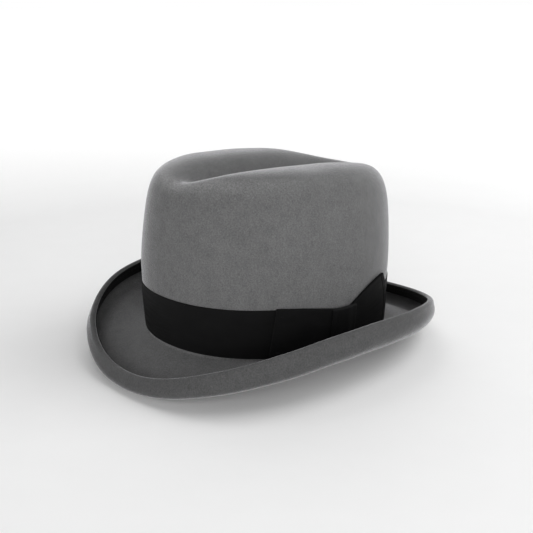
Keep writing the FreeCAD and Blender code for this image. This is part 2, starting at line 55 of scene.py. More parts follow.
# ---- head opening and crown, as in the CAD model ----
HALF_LENGTH = 101.6 * MM
HALF_WIDTH = 89.9 * MM
OVAL_POWER = 2.12
OVAL_EGG = 0.03
OVAL_CENTRE_Y = 3.45 * MM
FELT = 1.9 * MM
CROWN_HEIGHT = 137.87 * MM
CROWN_POWER = (15.0, 8.2, 12.2)
CROWN_SHIFT = 8.2 * MM
CROWN_BULGE = (0.061, 0.056, 0.02)
CROWN_TAPER = (0.021, 0.081, 0.015)
RIDGE_FALL = 4.7 * MM
RIDGE_PEAK_Y = -57.5 * MM
RIDGE_RUN = 100.0 * MM
CREASE_DEPTH = mm(-4.9, 26.8, 1.3)
CREASE_HALF_WIDTH = mm(15.9, 17.8, 34.0)
CREASE_POWER = 1.79
BREAK_HEIGHT = 16.07 * MM
BREAK_TWIST = -0.2 * MM
BREAK_TILT = -4.17 * MM
BREAK_RADIUS = 2.6 * MM

# ---- brim: front, side, back ----
BRIM_WIDTH = mm(46.8, 40.4, 39.9)
BRIM_CORNER_WIDTH = mm(4.6, 4.2)
BRIM_SLOPE = (-25.6, 18.1, -22.1)
CURL_RADIUS = mm(5.0, 12.0, 10.4)
CURL_RISE = mm(5.0, 5.9, 3.7)
CURL_LEAN = (119.4, 107.4, 98.9)  # degrees
SLOPE_POWER = 2.4
FOLD_RADIUS = 1.6 * MM
FOLD_TURN = 172.0
HEM = mm(5.5, 7.5, 5.5)
UNEVEN = 0.16 * MM  # how far hand shaping leaves the felt off its formula
HIGHLIGHT_BEND = (28.0, 115.0)  # curvature per metre where the painted highlight on convex edges starts, and where it is full
HIGHLIGHT_GAIN = 0.9  # how much paler the painted highlight makes a convex edge
LIP_SHADE_GAIN = 0.36  # how much darker the lip is painted: painted shade
FELT_ROWS = {"fillet": 6, "flat": 26, "curl": 20, "rise": 8, "fold": 14, "hem": 7}
FELT_AROUND = 288
CROWN_ROWS = 88
CROWN_END = 0.9865  # the crown's last ring, just above the round at the break

# ---- trim ----
RIBBON = 0.6 * MM
GAP = 0.12 * MM
BAND_WIDTH = 38.6 * MM
BAND_LOW = 3.0 * MM
BAND_SLIT = mm(-36.0, 1.0)
BAND_DIP = mm(-8.0, 27.0, 5.6)
BINDING = 0.45 * MM
BINDING_START = 0.7  # share of the fold that it leaves bare
BINDING_ROUND = 870.0 * MM
BINDING_STITCHES = 200
BAND_TACKS = 10
THREAD = 0.22 * MM  # radius
STITCH_SHARE = 0.6  # how much of its pitch a stitch covers
BASTING_SHARE = 0.4
RIB = 0.75 * MM  # pitch of the grosgrain's ribs
RIB_DEPTH = 0.09 * MM

# ---- bow: (distance round the head, height above the break) ----
LOOP_END = (mm(-68.3, 4.75), mm(-64.5, 42.7))
LOOP_ROOT = (mm(-12.0, 6.25), mm(-14.0, 36.4))
LOOP_EASE = 0.65
LOOP_WIDTH = 37.0 * MM
LOOP_BEND = 0.55 * MM
LOOP_PUFF = 0.75 * MM
LOOP_PLEAT = 0.22 * MM
LOOP_TACKS = (mm(-62.5, 8.75), mm(-60.5, 37.25))
FAN_ROOT = (mm(-3.0, 6.75), mm(-3.0, 35.5))
FAN_END = (mm(51.5, 4.75), mm(38.5, 54.0))
FAN_EASE = 0.6
FAN_BOW = 5.0 * MM
FAN_STAND_OFF = 1.7 * MM
FAN_WIDTH = 44.0 * MM
FAN_BEND = 0.42 * MM
FAN_HEM = 5.0 * MM
FAN_HEM_GROOVE = 0.4 * MM
FAN_FRONT_LIFT = 1.75 * MM
FAN_DENT = 0.55 * MM
FAN_PLEATS = mm(0.34, 0.12)  # in front, behind
FAN_STEP = 0.5 * MM  # how far the layer behind shows below
KEEPER = (mm(-20.0, 4.15), mm(4.0, 37.4))
KEEPER_CROWN = 1.2 * MM
KEEPER_BEND = 1.6 * MM
KEEPER_FOLD = 0.14 * MM
KEEPER_TACKS = mm(-12.0, -7.0, -2.0)
LOOP_THICKNESS = 2.4 * MM
PLEATS = 2.0

# ---- inside ----
LEATHER = 1.0 * MM
LEATHER_LOW = 2.6 * MM
LEATHER_STAND_OFF = 1.0 * MM
LEATHER_LEAN = 1.4 * MM
LEATHER_SLIT = 0.3 * MM
REED_TAPE = 0.35 * MM
SWEATBAND_HEIGHT = 50.0 * MM
SCORE_DOWN = 2.2 * MM
SCORE_DEPTH = 0.16 * MM
SWEATBAND_STITCHES = 150
SWEATBAND_STITCH_UP = 2.2 * MM
SEAM_PITCH = 3.0 * MM
SEAM_HALF = 1.6 * MM
SEAM_LOW = 3.6 * MM
SMALL_BOW_UP = 12.0 * MM
SMALL_BOW_WIDTH = 5.0 * MM
SMALL_BOW_KNOT = 3.2 * MM
SMALL_BOW_RIBBON = {"thickness": 0.22 * MM, "per_rib": 3, "rib_depth": 0.04 * MM}
LINING = 0.4 * MM
LINING_LOW = 14.0 * MM
LINING_HIGH = 98.0 * MM
LINING_EASE = 6.0 * MM
LINING_TIP_DROP = 7.0 * MM
LINING_DOME = 4.0 * MM
LINING_FOLD = 1.5 * MM
LINING_CREASE = 0.35 * MM
LINING_GATHERS = 84
LINING_SEED = 11
TIP_WANDER = 0.5 * MM
LINING_STITCHES = 48
LINING_STITCH_UP = 2.0 * MM
PIPING_RADIUS = 0.9 * MM
PIPING_SIDES = 12

# ---- lifts from the felt's middle surface ----
BAND_LIFT = FELT / 2 + GAP
BOW_LIFT = BAND_LIFT + RIBBON + GAP
INNER = -FELT / 2
LEATHER_LIFT = INNER - GAP - REED_TAPE - GAP

# ---- camera, at the photograph's angle ----
CAMERA_AZIMUTH = 46.62
CAMERA_ELEVATION = 18.25
CAMERA_ROLL = -0.46
CAMERA_DISTANCE = 0.7
CAMERA_AIM = mm(1.3, 4.8, 61.75)
CAMERA_LENS = 56.48

# ---- studio ----
SOFTBOXES = (  # name, azimuth from the front, elevation, watts
    ("front", 46, 15, 13.2),
    ("side", -20, 15, 3.2),
    ("back_left", 140, 50, 15.2),
    ("back_right", 240, 50, 8.0),
    ("below", 200, -70, 10.0),
)
SOFTBOX_SIZE = 1.2
SOFTBOX_DISTANCE = 1.6
WORLD_LIGHT = 0.15
FLOOR_REACH = 15.0
FLOOR_LEVEL = -0.3 * MM  # just clear of the brim, where it rests
BACKDROP_HEIGHT = 6.0
STAGE_SIDES = 96
WHITE, BLACK = (1.0, 1.0, 1.0, 1.0), (0.0, 0.0, 0.0, 1.0)
LEVEL = np.array([1.0, 1.0, 0.0])  # times a direction, this makes it level


# ---- the felt's middle surface ----
def mixed(theta, values, power=2.0):
    """The front, side or back value, blended round the head."""
    front, side, back = values
    share = np.abs(np.sin(theta)) ** power
    end = np.where(np.sin(theta) < 0, front, back)
    return side * (1 - share) + end * share


def oval(theta):
    """The brim break seen from above."""
    reach = np.abs(np.cos(theta)) ** OVAL_POWER + np.abs(np.sin(theta)) ** OVAL_POWER
    reach = reach ** (-1 / OVAL_POWER)
    x = HALF_WIDTH * np.cos(theta) * reach * (1 + OVAL_EGG * np.sin(theta))
    y = HALF_LENGTH * np.sin(theta) * reach
    return x, y


def oval_normal(theta):
    step = 1e-4
    x0, y0 = oval(theta - step)
    x1, y1 = oval(theta + step)
    length = np.hypot(x1 - x0, y1 - y0)
    return (y1 - y0) / length, (x0 - x1) / length


def break_height(theta):
    return BREAK_HEIGHT + BREAK_TWIST * np.cos(2 * theta) + BREAK_TILT * np.sin(theta)


def along_crown(y, values):
    """The front, middle or back value, blended along the crown."""
    front, middle, back = values
    share = (y / HALF_LENGTH) ** 2
    return middle * (1 - share) + np.where(y < 0, front, back) * share


def crown_top(x, y):
    """Height of the creased top of the crown over a point."""
    depth = along_crown(y, CREASE_DEPTH)
    crease = np.exp(-(np.abs(x) / along_crown(y, CREASE_HALF_WIDTH)) ** CREASE_POWER)
    ridge = CROWN_HEIGHT - RIDGE_FALL * ((y - RIDGE_PEAK_Y) / RIDGE_RUN) ** 2
    return BREAK_HEIGHT + ridge - depth * crease


def crown_ring(theta, spread, rise):
    """Plan position on the crown: spread 0 to 1 from its middle out, rise 0 to 1 from its base up."""
    x, y = oval(theta)
    swell = 1 + mixed(theta, CROWN_BULGE) * np.sin(math.pi * rise) - mixed(theta, CROWN_TAPER) * rise
    return x * spread * swell, y * spread * swell + CROWN_SHIFT * rise


def crown_points(theta, share):
    """Points on the crown, share 0 at the middle of the top and 1 at the break."""
    v = 2 * share - 1
    turn = math.pi / 4 * (1 + v * (0.62 + 0.38 * v * v))
    power = mixed(theta, CROWN_POWER)
    reach = (np.sin(turn) ** power + np.maximum(0.0, np.cos(turn)) ** power) ** (-1 / power)
    rise = np.maximum(0.0, np.cos(turn)) * reach
    x, y = crown_ring(theta, np.sin(turn) * reach, rise)
    low = break_height(theta)
    return stacked(x, y + OVAL_CENTRE_Y, low + (crown_top(x, y) - low) * rise)


def wall_points(theta, height):
    """Points on the side of the crown, at a height above the break."""
    low = break_height(theta)
    power = mixed(theta, CROWN_POWER)
    x, y = oval(theta)
    for _ in range(8):
        rise = np.clip(height / (crown_top(x, y) - low), 0.0, 0.999)
        x, y = crown_ring(theta, (1 - rise ** power) ** (1 / power), rise)
    return stacked(x, y + OVAL_CENTRE_Y, low + height)


def fillet_reach(theta):
    """How far the round at the break runs up the crown and out along the brim."""
    slope = np.radians(mixed(theta, BRIM_SLOPE, SLOPE_POWER))
    return BREAK_RADIUS * np.tan((math.pi / 2 + slope) / 2)


def brim_section(theta, rows):
    """Distance out and height above the break, stretch by stretch from crown to raw edge."""
    slope = np.radians(mixed(theta, BRIM_SLOPE, SLOPE_POWER))
    lean = np.radians(mixed(theta, CURL_LEAN))
    radius = mixed(theta, CURL_RADIUS, SLOPE_POWER)
    corner = np.where(np.sin(theta) < 0, *BRIM_CORNER_WIDTH)
    width = mixed(theta, BRIM_WIDTH) + corner * np.sin(2 * theta) ** 2
    flat = (width - radius * (1 - np.sin(slope))) / np.cos(slope)
    reach = fillet_reach(theta)
    stretches = {}

    def arc(name, start, first, last, bend):
        share = np.arange(1, rows[name] + 1)[:, None] / rows[name]
        angle = first + (last - first) * share
        out = start[0] + bend * (np.sin(angle) - np.sin(first))
        up = start[1] + bend * (np.cos(first) - np.cos(angle))
        stretches[name] = (out, up)
        return out[-1], up[-1]

    def line(name, start, angle, length):
        run = length * np.arange(1, rows[name] + 1)[:, None] / rows[name]
        out, up = start[0] + run * np.cos(angle), start[1] + run * np.sin(angle)
        stretches[name] = (out, up)
        return out[-1], up[-1]

    end = arc("fillet", (0.0, reach), -math.pi / 2, slope, BREAK_RADIUS)
    end = line("flat", end, slope, flat - reach)
    end = arc("curl", end, slope, lean, radius)
    end = line("rise", end, lean, mixed(theta, CURL_RISE, SLOPE_POWER))
    turned = lean + math.radians(FOLD_TURN)
    end = arc("fold", end, lean, turned, FOLD_RADIUS)
    line("hem", end, turned, mixed(theta, HEM))
    return stretches


def brim_points(theta, out, up):
    x, y = oval(theta)
    nx, ny = oval_normal(theta)
    return stacked(x + nx * out, y + ny * out + OVAL_CENTRE_Y, break_height(theta) + up)


def stacked(*parts):
    """Points, or pairs, from their coordinates."""
    return np.stack(np.broadcast_arrays(*parts), -1)


def unit(vectors):
    return vectors / np.maximum(np.linalg.norm(vectors, axis=-1, keepdims=True), 1e-12)


def wall_normals(theta, height):
    turn, step = 1e-3, 0.1 * MM
    along = wall_points(theta + turn, height) - wall_points(theta - turn, height)
    down = wall_points(theta, height - step) - wall_points(theta, height + step)
    return unit(np.cross(down, along))


def on_wall(theta, height, lift):
    """Points at a lift from the side of the crown."""
    theta, height, lift = np.broadcast_arrays(theta, height, lift)
    return wall_points(theta, height) + wall_normals(theta, height) * lift[..., None]


def level_out(theta):
    """Level directions out of the oval."""
    return stacked(*oval_normal(theta), 0.0)


def in_wall(theta, height, lift):
    """Points inside the crown, moved level from its side."""
    theta, height, lift = np.broadcast_arrays(theta, height, lift)
    return wall_points(theta, np.maximum(height, 0.0)) + level_out(theta) * lift[..., None]


def round_the_head():
    """Distances round the head at the middle of the band, and the angles there."""
    angles = np.linspace(-math.pi, 3 * math.pi, 8001)
    line = wall_points(angles, BAND_LOW + BAND_WIDTH / 2)
    steps = np.linalg.norm(np.diff(line, axis=0), axis=1)
    distances = np.concatenate([[0.0], np.cumsum(steps)])
    return distances - np.interp(0.0, angles, distances), angles


HEAD_DISTANCES, HEAD_ANGLES = round_the_head()
HEAD_ROUND = float(np.interp(2 * math.pi, HEAD_ANGLES, HEAD_DISTANCES))


def angle_round(distance):
    return np.interp(distance, HEAD_DISTANCES, HEAD_ANGLES)


def smooth(value, low, high):
    """0 below low, 1 above high, eased between."""
    share = np.clip((value - low) / (high - low), 0.0, 1.0)
    return share * share * (3 - 2 * share)


def waves(points, shortest, longest, count, seed):
    """A smooth wander about 0, of about unit size, from a few long waves."""
    draw = np.random.default_rng(seed)
    total = np.zeros(points.shape[:-1])
    for _ in range(count):
        heading = unit(draw.normal(size=3))
        length = draw.uniform(shortest, longest)
        total += np.sin(points @ heading * 2 * math.pi / length + draw.uniform(0, 2 * math.pi))
    return total / math.sqrt(count / 2)


def hand_shaped(points):
    """The slight unevenness of felt blocked and curled by hand, away from band and opening."""
    plan = np.hypot(points[..., 0] / HALF_WIDTH, (points[..., 1] - OVAL_CENTRE_Y) / HALF_LENGTH)
    share = np.maximum(smooth(points[..., 2], 64 * MM, 80 * MM), smooth(plan, 1.08, 1.2))
    wander = [waves(points, 40 * MM, 110 * MM, 6, seed) for seed in (1, 2, 3)]
    return points + UNEVEN * share[..., None] * np.stack(wander, -1)


# ---- meshes ----
def slopes(grid, ring):
    """How a grid changes from place to place, down and along."""
    down = np.gradient(grid, axis=0)
    if ring:
        return down, (np.roll(grid, -1, axis=1) - np.roll(grid, 1, axis=1)) / 2
    return down, np.gradient(grid, axis=1)


def grid_normals(grid, ring):
    """Unit normals of a grid of points, out of the crown or up from the brim."""
    return unit(np.cross(*slopes(grid, ring)))


def turned_out(grid, normals):
    """How sharply a ring grid turns outwards: the sum of its two curvatures, per metre."""
    turns = zip(slopes(normals, True), slopes(grid, True))
    return sum((turn * step).sum(-1) / np.maximum((step ** 2).sum(-1), 1e-12) for turn, step in turns)


def quads(places):
    """The corners of each quad of a grid of places, which are numbers or rows of numbers."""
    corners = (places[:-1, :-1], places[1:, :-1], places[1:, 1:], places[:-1, 1:])
    return np.stack(corners, 2).reshape(-1, 4, *places.shape[2:])


def quad_places(rows, columns):
    """Rows and columns of the corners of a grid's quads."""
    return np.moveaxis(quads(stacked(*np.mgrid[:rows, :columns])), -1, 0)


def tube_quads(rows, columns):
    """Vertex numbers of the quads of a grid whose rows close on themselves."""
    row, column = quad_places(rows, columns + 1)
    return row * columns + column % columns


def add_object(name, points, faces, corner_uvs=None, pole=None, painted_highlight=None):
    """A smooth-shaded mesh object; pole lists vertices that are one point, painted_highlight is a painted
    highlight per vertex.
    """
    mesh = bpy.data.meshes.new(name)
    mesh.from_pydata(np.asarray(points).reshape(-1, 3).tolist(), [], [list(f) for f in faces])
    if corner_uvs is not None:
        layer = mesh.uv_layers.new(name="cloth")
        layer.data.foreach_set("uv", np.asarray(corner_uvs, np.float32).ravel())
    if painted_highlight is not None:
        layer = mesh.attributes.new("painted_highlight", "FLOAT", "POINT")
        layer.data.foreach_set("value", np.asarray(painted_highlight, np.float32).ravel())
    mesh.polygons.foreach_set("use_smooth", np.ones(len(mesh.polygons), bool))
    mesh.update()
    made = bpy.data.objects.new(name, mesh)
    bpy.context.scene.collection.objects.link(made)
    if pole is not None:
        merge_pole(made, pole)
    return made


def merge_pole(made, pole):
    work = bmesh.new()
    work.from_mesh(made.data)
    work.verts.ensure_lookup_table()
    bmesh.ops.remove_doubles(work, verts=[work.verts[i] for i in pole], dist=1e-6)
    work.to_mesh(made.data)
    work.free()


def shell(name, outer, inner, ring=False, uv=None, pole=False, painted_highlight=None):
    """A thin closed solid between two grids; uv gives each grid place's (along, across)."""
    rows, columns = outer.shape[:2]
    size = rows * columns
    row, column = np.mgrid[:rows, :columns + ring]
    places = np.stack([stacked(layer, row, column) for layer in (0, 1)])
    parts = [places[0], places[1, :, ::-1], places[:, -1]]
    if not pole:
        parts.append(places[:, 0, ::-1])
    if not ring:
        parts += [places[:, :, 0], places[:, ::-1, -1]]
    layer, row, column = np.moveaxis(np.concatenate([quads(part) for part in parts]), -1, 0)
    corner_uvs = None if uv is None else uv[row, column]
    poles = list(range(columns)) + list(range(size, size + columns)) if pole else None
    points = np.concatenate([outer.reshape(-1, 3), inner.reshape(-1, 3)])
    if painted_highlight is not None:
        painted_highlight = np.concatenate([painted_highlight.ravel(), np.zeros(size)])
    faces = layer * size + row * columns + column % columns
    return add_object(name, points, faces, corner_uvs, poles, painted_highlight)


def joined(name, parts):
    """One object from several."""
    with bpy.context.temp_override(active_object=parts[0], selected_editable_objects=parts):
        bpy.ops.object.join()
    parts[0].name = name
    parts[0].data.name = name
    return parts[0]


def finish_piece(piece, material, slot, *nodes):
    piece.data.materials.clear()
    piece.data.materials.append(material)
    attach(piece, "root")
    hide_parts(*nodes)
    return piece


# ---- node helpers ----
def new_material(name):
    material = bpy.data.materials.new(name)
    material.use_nodes = True
    return material, material.node_tree, material.node_tree.nodes["Principled BSDF"]


def fill(tree, socket, value):
    """Links or sets an input."""
    if isinstance(value, bpy.types.NodeSocket):
        tree.links.new(value, socket)
    else:
        socket.default_value = value


def node(tree, kind, inputs=None, **settings):
    made = tree.nodes.new(kind)
    for key, value in settings.items():
        setattr(made, key, value)
    for key, value in (inputs or {}).items():
        fill(tree, made.inputs[key], value)
    return made


def dress(tree, shader, **inputs):
    """Fills a shader's inputs, whose names have _ for each space."""
    for name, value in inputs.items():
        fill(tree, shader.inputs[name.replace("_", " ")], value)


def scaled(tree, vector, scale):
    return node(tree, "ShaderNodeMapping", {"Vector": vector, "Scale": scale}).outputs["Vector"]


def place(tree, scale=(1.0, 1.0, 1.0)):
    """Object coordinates, in metres, scaled along each axis."""
    return scaled(tree, node(tree, "ShaderNodeTexCoord").outputs["Object"], scale)


def cloth_place(tree, scale):
    """(along, across) on a ribbon or cloth, in metres, scaled along each."""
    return scaled(tree, node(tree, "ShaderNodeUVMap", uv_map="cloth").outputs["UV"], scale)


def length_of(tree, vector):
    return node(tree, "ShaderNodeVectorMath", {0: vector}, operation="LENGTH").outputs["Value"]


def noise(tree, vector, size, detail=2.0, roughness=0.5):
    inputs = {"Vector": vector, "Scale": 1 / size, "Detail": detail, "Roughness": roughness}
    return node(tree, "ShaderNodeTexNoise", inputs).outputs["Fac"]


def calc(tree, operation, a, b=0.0):
    return node(tree, "ShaderNodeMath", {0: a, 1: b}, operation=operation).outputs[0]


def spread(tree, value, low, high, from_low=0.3, from_high=0.7):
    """A value carried over from one range to another."""
    ends = {"From Min": from_low, "From Max": from_high, "To Min": low, "To Max": high}
    return node(tree, "ShaderNodeMapRange", {"Value": value, **ends}).outputs["Result"]


def shade_of(tree, *parts):
    """A sum of noises, each with its share in it."""
    shade = 0.0
    for value, share in parts:
        shade = calc(tree, "ADD", spread(tree, value, 0.0, share), shade)
    return shade


def tint(tree, share, dark, light):
    """A colour between two, by share."""
    ramp = node(tree, "ShaderNodeValToRGB", {"Fac": share})
    ramp.color_ramp.elements[0].color = (*dark, 1.0)
    ramp.color_ramp.elements[1].color = (*light, 1.0)
    return ramp.outputs["Color"]


def bump(tree, height, distance, strength=1.0, below=None):
    inputs = {"Height": height, "Distance": distance, "Strength": strength}
    if below is not None:
        inputs["Normal"] = below
    return node(tree, "ShaderNodeBump", inputs).outputs["Normal"]


# ---- materials ----
def lip_shade(tree):
    """Painted shade: how much darker the felt is painted towards the lip, standing in for the lip's shade.
    """
    plan = place(tree, (1 / HALF_WIDTH, 1 / HALF_LENGTH, 0.0))
    return spread(tree, length_of(tree, plan), 0.0, LIP_SHADE_GAIN, 1.3, 1.42)


def felt_material():
    """Short-napped grey fur felt, mottled and brushed, with a painted highlight on convex edges and painted
    shade round the lip.
    """
    material, tree, shader = new_material("felt")
    here = place(tree)
    fibre = noise(tree, here, 0.6 * MM, 2.0, 0.6)
    tuft = noise(tree, here, 1.15 * MM, 2.0, 0.6)
    cloud = noise(tree, here, 9.0 * MM, 3.0, 0.55)
    brushed = noise(tree, place(tree, (1.0, 1.0, 0.16)), 1.3 * MM, 3.0, 0.55)
    mottle = shade_of(tree, (fibre, 0.34), (tuft, 0.4), (cloud, 0.16), (brushed, 0.1))
    nap_colour = tint(tree, mottle, (0.063, 0.063, 0.0635), (0.164, 0.164, 0.165))
    # Painted highlight: convex edges are painted paler, broken up by the tufts.
    highlight_mask = node(tree, "ShaderNodeAttribute", attribute_name="painted_highlight").outputs["Fac"]
    patchy = calc(tree, "MULTIPLY", highlight_mask, spread(tree, tuft, 0.55, 1.0))
    # Paler by the painted highlight on convex edges, darker by the painted shade round the lip.
    gain = calc(tree, "SUBTRACT", calc(tree, "MULTIPLY", patchy, HIGHLIGHT_GAIN), lip_shade(tree))
    inputs = {0: nap_colour, "Scale": calc(tree, "ADD", gain, 1.0)}
    colour = node(tree, "ShaderNodeVectorMath", inputs, operation="SCALE").outputs["Vector"]
    nap = bump(tree, fibre, 0.3 * MM, 0.6, bump(tree, tuft, 0.4 * MM, 0.5))
    dress(tree, shader, Base_Color=colour, Roughness=spread(tree, tuft, 0.82, 0.97), Normal=nap)
    dress(tree, shader, Sheen_Weight=0.9, Sheen_Roughness=0.3, Specular_IOR_Level=0.08)
    dress(tree, shader, Sheen_Tint=(0.8, 0.8, 0.82, 1.0))
    return material


def weave(tree, scale, sizes, shares, cloud_detail):
    """A cloth's threads and slubs, and the shade that they and a cloud give it."""
    cloth = cloth_place(tree, scale)
    threads = noise(tree, cloth, sizes[0], 1.0, 0.4)
    slub = noise(tree, cloth, sizes[1])
    cloud = noise(tree, place(tree), sizes[2], cloud_detail)
    return threads, slub, shade_of(tree, *zip((threads, slub, cloud), shares))


def ribbon_material():
    """Black grosgrain: the ribs are modelled, and fine warp threads cross them."""
    material, tree, shader = new_material("grosgrain")
    sizes = mm(0.16, 2.4, 14.0)
    threads, slub, shade = weave(tree, (0.12, 1.0, 1.0), sizes, (0.4, 0.3, 0.3), 2.0)
    colour = tint(tree, shade, (0.0025, 0.0025, 0.0027), (0.006, 0.006, 0.0062))
    dress(tree, shader, Base_Color=colour, Roughness=spread(tree, slub, 0.52, 0.68))
    dress(tree, shader, Normal=bump(tree, threads, 0.04 * MM, 0.4))
    dress(tree, shader, Sheen_Weight=0.01, Sheen_Roughness=0.5, Specular_IOR_Level=0.06)
    return material


def thread_material(name, dark, light):
    """Twisted sewing thread."""
    material, tree, shader = new_material(name)
    fibre = noise(tree, place(tree), 0.12 * MM, 2.0, 0.6)
    dress(tree, shader, Base_Color=tint(tree, fibre, dark, light), Roughness=spread(tree, fibre, 0.5, 0.75))
    dress(tree, shader, Normal=bump(tree, fibre, 0.03 * MM, 0.5))
    dress(tree, shader, Sheen_Weight=0.02, Specular_IOR_Level=0.12)
    return material


def leather_material():
    """Smooth tan sweatband leather, fine-grained, its tone varying in soft clouds."""
    material, tree, shader = new_material("leather")
    here = place(tree)
    cells = node(tree, "ShaderNodeTexVoronoi", {"Vector": here, "Scale": 1 / (0.75 * MM)},
                 feature="DISTANCE_TO_EDGE").outputs["Distance"]
    grain = spread(tree, cells, 0.0, 1.0, 0.0, 0.22)
    cloud = noise(tree, here, 16.0 * MM, 4.0, 0.6)
    speck = noise(tree, here, 0.5 * MM, 2.0, 0.6)
    shade = shade_of(tree, (cloud, 0.55), (speck, 0.15))
    shade = calc(tree, "ADD", shade, calc(tree, "MULTIPLY", grain, 0.3))
    colour = tint(tree, shade, (0.085, 0.037, 0.016), (0.2, 0.096, 0.045))
    dress(tree, shader, Base_Color=colour, Roughness=spread(tree, cloud, 0.36, 0.52))
    dress(tree, shader, Normal=bump(tree, grain, 0.05 * MM, 0.5, bump(tree, speck, 0.05 * MM, 0.25)))
    dress(tree, shader, Specular_IOR_Level=0.42)
    return material


def satin_material():
    """Pale grey satin: long floats that shine along one way, and a faint weave."""
    material, tree, shader = new_material("satin")
    sizes = mm(0.14, 1.1, 20.0)
    threads, slub, shade = weave(tree, (1.0, 0.08, 1.0), sizes, (0.3, 0.3, 0.4), 3.0)
    colour = tint(tree, shade, (0.36, 0.36, 0.375), (0.5, 0.5, 0.515))
    dress(tree, shader, Base_Color=colour, Roughness=spread(tree, slub, 0.26, 0.38))
    dress(tree, shader, Normal=bump(tree, threads, 0.03 * MM, 0.3))
    dress(tree, shader, Sheen_Weight=0.2, Sheen_Roughness=0.3, Anisotropic=0.5)
    return material


def tape_material():
    """Black plain-woven cotton tape."""
    material, tree, shader = new_material("tape")
    here = place(tree)
    threads = noise(tree, here, 0.35 * MM, 2.0, 0.6)
    cloud = noise(tree, here, 8.0 * MM)
    shade = shade_of(tree, (threads, 0.6), (cloud, 0.4))
    colour = tint(tree, shade, (0.015, 0.015, 0.016), (0.04, 0.04, 0.042))
    dress(tree, shader, Base_Color=colour, Roughness=spread(tree, cloud, 0.8, 0.95))
    dress(tree, shader, Normal=bump(tree, threads, 0.12 * MM, 0.7))
    dress(tree, shader, Sheen_Weight=0.15, Specular_IOR_Level=0.2)
    return material


def reed_material():
    """Drawn plastic cord, slightly waxy."""
    material, tree, shader = new_material("reed")
    drawn = noise(tree, place(tree), 2.5 * MM, 3.0, 0.6)
    colour = tint(tree, drawn, (0.46, 0.43, 0.37), (0.6, 0.57, 0.5))
    dress(tree, shader, Base_Color=colour, Roughness=spread(tree, drawn, 0.35, 0.55))
    dress(tree, shader, Normal=bump(tree, drawn, 0.05 * MM, 0.3), Specular_IOR_Level=0.5)
    return material


# ---- felt ----
def ring_angles(count):
    return 2 * math.pi * np.arange(count) / count


def felt_grid():
    theta = ring_angles(FELT_AROUND)
    crown = crown_points(theta, np.linspace(0.0, CROWN_END, CROWN_ROWS)[:, None])
    rings = [crown, brim_points(theta, 0.0, fillet_reach(theta))[None]]
    for out, up in brim_section(theta, FELT_ROWS).values():
        rings.append(brim_points(theta, out, up))
    return np.concatenate(rings)


def felt_body(material):
    grid = felt_grid()
    normals = grid_normals(grid, True)
    normals[0] = (0.0, 0.0, 1.0)
    outer = hand_shaped(grid + normals * FELT / 2)
    inner = hand_shaped(grid - normals * FELT / 2)
    # Painted highlight: the more sharply the felt turns outwards, the paler it is painted, standing in for
    # the sheen along ridges and crests.
    bend = turned_out(grid, normals)
    bend[:3] = 0.0                   # next to the pole the rings are too small to tell
    painted_highlight = smooth(bend, *HIGHLIGHT_BEND)
    piece = shell("felt_crown_and_brim", outer, inner, ring=True, pole=True, painted_highlight=painted_highlight)
    return finish_piece(piece, material, "felt", "felt_body")


# ---- ribbon ----
def rib_wave(along):
    """Rounded ribs with sharp valleys, 0 to 1."""
    return np.abs(np.cos(math.pi * along / RIB))


def across_rows(width, middle_rows):
    """Distances across a ribbon from one edge, closer together at its edges."""
    edge = np.array(mm(0.0, 0.1, 0.32))
    middle = np.linspace(0.8 * MM, width - 0.8 * MM, middle_rows)
    return np.concatenate([edge, middle, width - edge[::-1]])


def edge_share(across, width, thickness):
    """How much of its thickness a ribbon keeps towards its rounded edges."""
    inside = np.clip(np.minimum(across, width - across) / (thickness / 2), 0.0, 1.0)
    return 0.3 + 0.7 * np.sqrt(1 - (1 - inside) ** 2)


def ribbon(name, surface, length, width, middle_rows, thickness=RIBBON, per_rib=4, rib_depth=RIB_DEPTH):
    """A ribbed strip; surface(along, share across) gives its middle, share 0 at the upper edge."""
    along = np.linspace(0.0, length, int(length / RIB * per_rib) + 1)
    across = across_rows(width, middle_rows)[:, None]
    wave = rib_wave(along)
    scallop = 0.1 * MM / width * wave * np.where(across < width / 2, -1, 1)
    scallop = scallop * (np.minimum(across, width - across) < 0.2 * MM)
    grid = surface(along[None, :], across / width + scallop)
    half = thickness / 2 * edge_share(across, width, thickness) - rib_depth * (1 - wave) / 2
    away = grid_normals(grid, False) * np.maximum(half, 0.05 * MM)[..., None]
    return shell(name, grid + away, grid - away, uv=stacked(along, across))


def band_top(distance):
    """Height of the band's upper edge, which the bow eases down."""
    centre, reach, depth = BAND_DIP
    away = (distance + HEAD_ROUND / 2) % HEAD_ROUND - HEAD_ROUND / 2 - centre
    return BAND_LOW + BAND_WIDTH - depth * np.exp(-(np.abs(away) / reach) ** 3)


def hat_band(material):
    centre, half = BAND_SLIT
    start = centre + half

    def surface(along, share):
        distance = start + along
        top = band_top(distance)
        height = top + (BAND_LOW - top) * share
        return on_wall(angle_round(distance), height, BAND_LIFT + RIBBON / 2)

    length = HEAD_ROUND - 2 * half
    piece = ribbon("band_ribbon", surface, length, BAND_WIDTH, middle_rows=9)
    return finish_piece(piece, material, "grosgrain", "hat_band"), length


